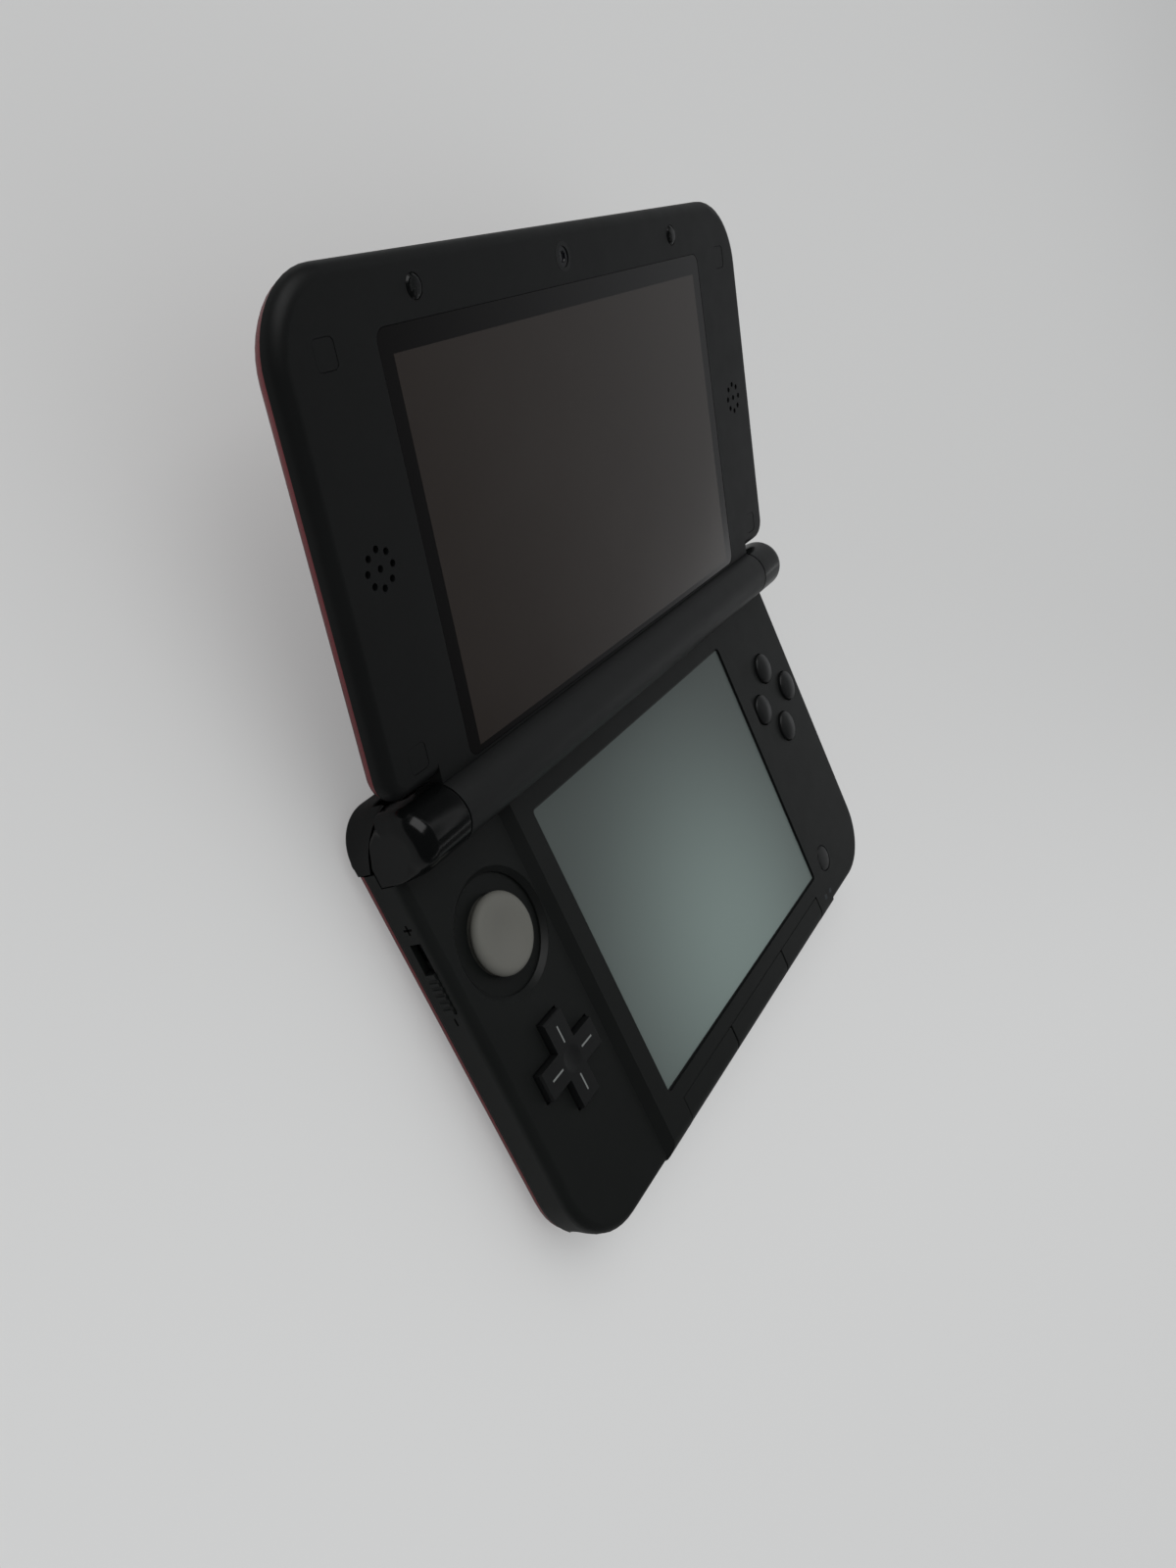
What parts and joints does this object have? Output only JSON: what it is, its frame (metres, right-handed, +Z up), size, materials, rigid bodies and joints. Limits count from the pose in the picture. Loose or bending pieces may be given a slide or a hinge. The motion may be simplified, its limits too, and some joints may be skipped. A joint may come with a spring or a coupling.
{
  "type": "handheld game console",
  "caption": "Clamshell handheld game console opened flat to its stop: wide upper screen, smaller touch screen, slide pad, direction pad and face buttons, glossy black hinge ends",
  "frame": {"origin": "middle of the flat underside of the base, on the battery cover's outer face", "axes": "+X to the user's right along the hinge, +Y from the front edge to the hinge, +Z up out of the touch screen"},
  "size_m": [0.157, 0.1682, 0.0407],
  "materials": {
    "black_shell": "fine matte moulded plastic, near black",
    "gloss_black": "polished black plastic with sharp reflections",
    "key_black": "satin black plastic key",
    "lid_black": "satin to glossy plum-black plastic",
    "red_lacquer": "metallic red lacquer over plastic",
    "pad_rubber": "warm grey soft rubber",
    "black_rubber": "black rubber",
    "grey_rubber": "grey silicone rubber",
    "lower_screen": "matte grey-green touch film over the lower screen",
    "upper_screen": "dark brown-grey screen window with soft reflections",
    "display_frame": "black display module with metal rim",
    "dark_window": "dark infrared-clear plastic",
    "light_guide": "clear light guide, unlit",
    "lens_glass": "small dark lens in a black ring",
    "inner_plastic": "dark grey moulded plastic",
    "circuit_board": "green circuit board",
    "battery_wrap": "pale grey battery housing",
    "steel": "plain steel"
  },
  "bodies": {
    "base": {"bottom_cover": "red_lacquer", "battery_cover": "red_lacquer", "battery_cover_screws": "steel", "case_screws": "steel", "rubber_feet": "black_rubber", "upper_case": "black_shell", "left_hinge_cover": "gloss_black", "right_hinge_cover": "gloss_black", "hinge_pins": "steel", "touch_panel": "lower_screen", "lower_display": "display_frame", "main_board": "circuit_board", "battery_pack": "battery_wrap", "rubber_mats": "grey_rubber", "game_card_slot": "inner_plastic", "memory_card_reader": "steel", "headphone_socket": "inner_plastic", "charging_socket": "inner_plastic", "infrared_window": "dark_window", "indicator_lights": "light_guide", "stylus_sleeve": "inner_plastic", "slide_pad_housing": "inner_plastic", "shoulder_pins": "steel"},
    "lid": {"lid_frame": "lid_black", "lid_cover": "red_lacquer", "lid_barrel": "black_shell", "upper_window": "upper_screen", "upper_display": "display_frame", "speakers": "inner_plastic", "inner_camera": "lens_glass", "outer_cameras": "lens_glass", "lid_bumpers": "black_rubber", "lid_screw_caps": "black_rubber"},
    "slide_pad_carriage": {"slide_pad_carriage": "inner_plastic"},
    "slide_pad": {"slide_pad": "pad_rubber"},
    "dpad_rocker": {"dpad_rocker": "grey_rubber"},
    "dpad": {"dpad": "key_black"},
    "right_face_button": {"right_face_button": "gloss_black"},
    "top_face_button": {"top_face_button": "gloss_black"},
    "left_face_button": {"left_face_button": "gloss_black"},
    "bottom_face_button": {"bottom_face_button": "gloss_black"},
    "power_button": {"power_button": "key_black"},
    "left_function_button": {"left_function_button": "black_shell"},
    "middle_function_button": {"middle_function_button": "black_shell"},
    "right_function_button": {"right_function_button": "black_shell"},
    "left_shoulder_button": {"left_shoulder_button": "gloss_black"},
    "right_shoulder_button": {"right_shoulder_button": "gloss_black"},
    "volume_slider": {"volume_slider": "black_shell"},
    "wireless_switch": {"wireless_switch": "black_shell"},
    "stylus": {"stylus": "black_shell"},
    "card_flap": {"card_flap": "black_shell"},
    "depth_slider": {"depth_slider": "black_shell"}
  },
  "joints": [
    {"name": "lid_hinge", "type": "hinge", "parent": "base", "child": "lid", "pos_m": [0, 0.03956, 0.01435], "axis": [1, 0, 0], "range_deg": [0, 162.8]},
    {"name": "slide_pad_x", "type": "slide", "parent": "base", "child": "slide_pad_carriage", "axis": [1, 0, 0], "range_m": [-0.0024, 0.0024], "stiffness_N_per_m": 250},
    {"name": "slide_pad_y", "type": "slide", "parent": "slide_pad_carriage", "child": "slide_pad", "axis": [0, 1, 0], "range_m": [-0.0024, 0.0024], "stiffness_N_per_m": 250},
    {"name": "dpad_tilt_x", "type": "hinge", "parent": "base", "child": "dpad_rocker", "pos_m": [-0.062, -0.0124, 0.008], "axis": [1, 0, 0], "range_deg": [-3, 3], "stiffness_Nm_per_rad": 0.6},
    {"name": "dpad_tilt_y", "type": "hinge", "parent": "dpad_rocker", "child": "dpad", "pos_m": [-0.062, -0.0124, 0.008], "axis": [0, 1, 0], "range_deg": [-3, 3], "stiffness_Nm_per_rad": 0.6},
    {"name": "right_face_button_press", "type": "slide", "parent": "base", "child": "right_face_button", "axis": [0, 0, -1], "range_m": [0, 0.0009], "stiffness_N_per_m": 1200, "springref_m": -0.0002},
    {"name": "top_face_button_press", "type": "slide", "parent": "base", "child": "top_face_button", "axis": [0, 0, -1], "range_m": [0, 0.0009], "stiffness_N_per_m": 1200, "springref_m": -0.0002},
    {"name": "left_face_button_press", "type": "slide", "parent": "base", "child": "left_face_button", "axis": [0, 0, -1], "range_m": [0, 0.0009], "stiffness_N_per_m": 1200, "springref_m": -0.0002},
    {"name": "bottom_face_button_press", "type": "slide", "parent": "base", "child": "bottom_face_button", "axis": [0, 0, -1], "range_m": [0, 0.0009], "stiffness_N_per_m": 1200, "springref_m": -0.0002},
    {"name": "power_button_press", "type": "slide", "parent": "base", "child": "power_button", "axis": [0, 0, -1], "range_m": [0, 0.0004], "stiffness_N_per_m": 2000, "springref_m": -0.0002},
    {"name": "left_function_button_press", "type": "slide", "parent": "base", "child": "left_function_button", "axis": [0, 0, -1], "range_m": [0, 0.0004], "stiffness_N_per_m": 2500, "springref_m": -0.0002},
    {"name": "middle_function_button_press", "type": "slide", "parent": "base", "child": "middle_function_button", "axis": [0, 0, -1], "range_m": [0, 0.0004], "stiffness_N_per_m": 2500, "springref_m": -0.0002},
    {"name": "right_function_button_press", "type": "slide", "parent": "base", "child": "right_function_button", "axis": [0, 0, -1], "range_m": [0, 0.0004], "stiffness_N_per_m": 2500, "springref_m": -0.0002},
    {"name": "right_shoulder_button_press", "type": "hinge", "parent": "base", "child": "right_shoulder_button", "pos_m": [0.0761, 0.0385, 0.0072], "axis": [0, 0, 1], "range_deg": [0, 3], "stiffness_Nm_per_rad": 0.5, "springref_deg": -1.15},
    {"name": "left_shoulder_button_press", "type": "hinge", "parent": "base", "child": "left_shoulder_button", "pos_m": [-0.0761, 0.0385, 0.0072], "axis": [0, 0, -1], "range_deg": [0, 3], "stiffness_Nm_per_rad": 0.5, "springref_deg": -1.15},
    {"name": "volume_slide", "type": "slide", "parent": "base", "child": "volume_slider", "axis": [0, 1, 0], "range_m": [0, 0.0054]},
    {"name": "wireless_switch_slide", "type": "slide", "parent": "base", "child": "wireless_switch", "axis": [0, 1, 0], "range_m": [0, 0.002]},
    {"name": "stylus_slide", "type": "slide", "parent": "base", "child": "stylus", "axis": [1, 0, 0], "range_m": [0, 0.088]},
    {"name": "card_flap_hinge", "type": "hinge", "parent": "base", "child": "card_flap", "pos_m": [0.0774, -0.01835, 0.00555], "axis": [0, 1, 0], "range_deg": [0, 90]},
    {"name": "depth_slide", "type": "slide", "parent": "lid", "child": "depth_slider", "axis": [0, 0.9553, 0.2957], "range_m": [0, 0.0096]}
  ]
}
